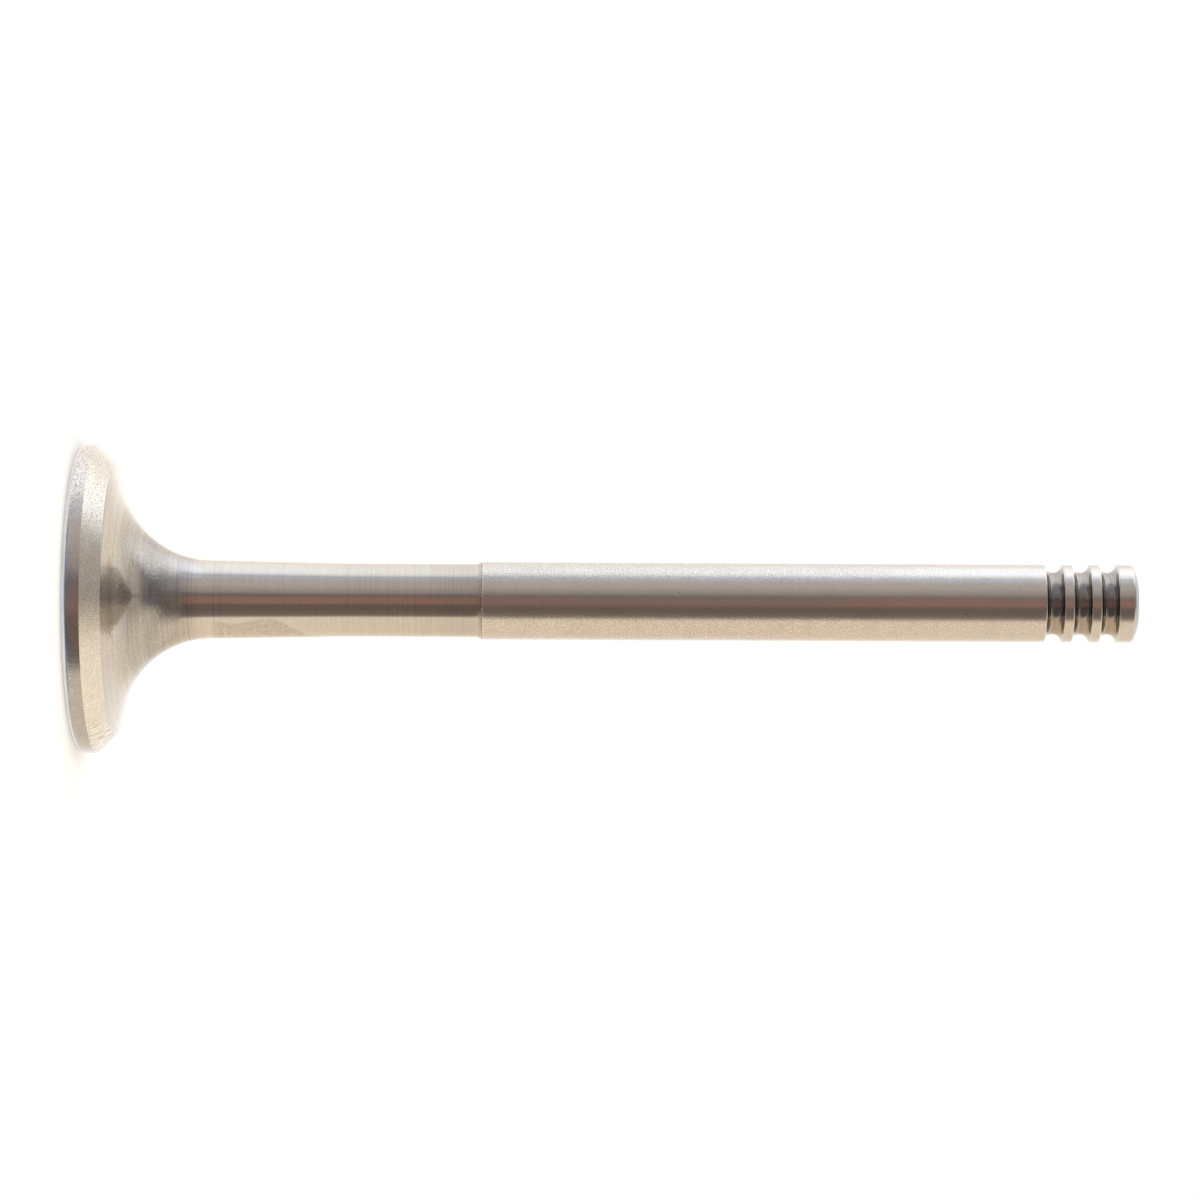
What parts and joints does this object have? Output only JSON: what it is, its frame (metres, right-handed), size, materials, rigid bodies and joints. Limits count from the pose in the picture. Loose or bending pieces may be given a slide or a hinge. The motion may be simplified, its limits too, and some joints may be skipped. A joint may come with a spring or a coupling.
{
  "type": "engine valve",
  "caption": "Poppet valve for a combustion engine: flat round head with a ground seat and flared throat, a relieved neck, a straight ground stem and rounded keeper grooves below the tip.",
  "frame": {"origin": "centre of the flat combustion face, on the axis of the valve", "axes": "+Z along the axis, from the head's face towards the stem tip; the valve is round, so +X and +Y are any two square directions across it"},
  "size_m": [0.0316, 0.0314, 0.1076],
  "materials": {
    "valve_steel": "turned and ground heat-resisting steel: polished neck, finely turned relief, centreless-ground stem, brushed head"
  },
  "bodies": {
    "root": {"valve": "valve_steel"}
  },
  "joints": []
}
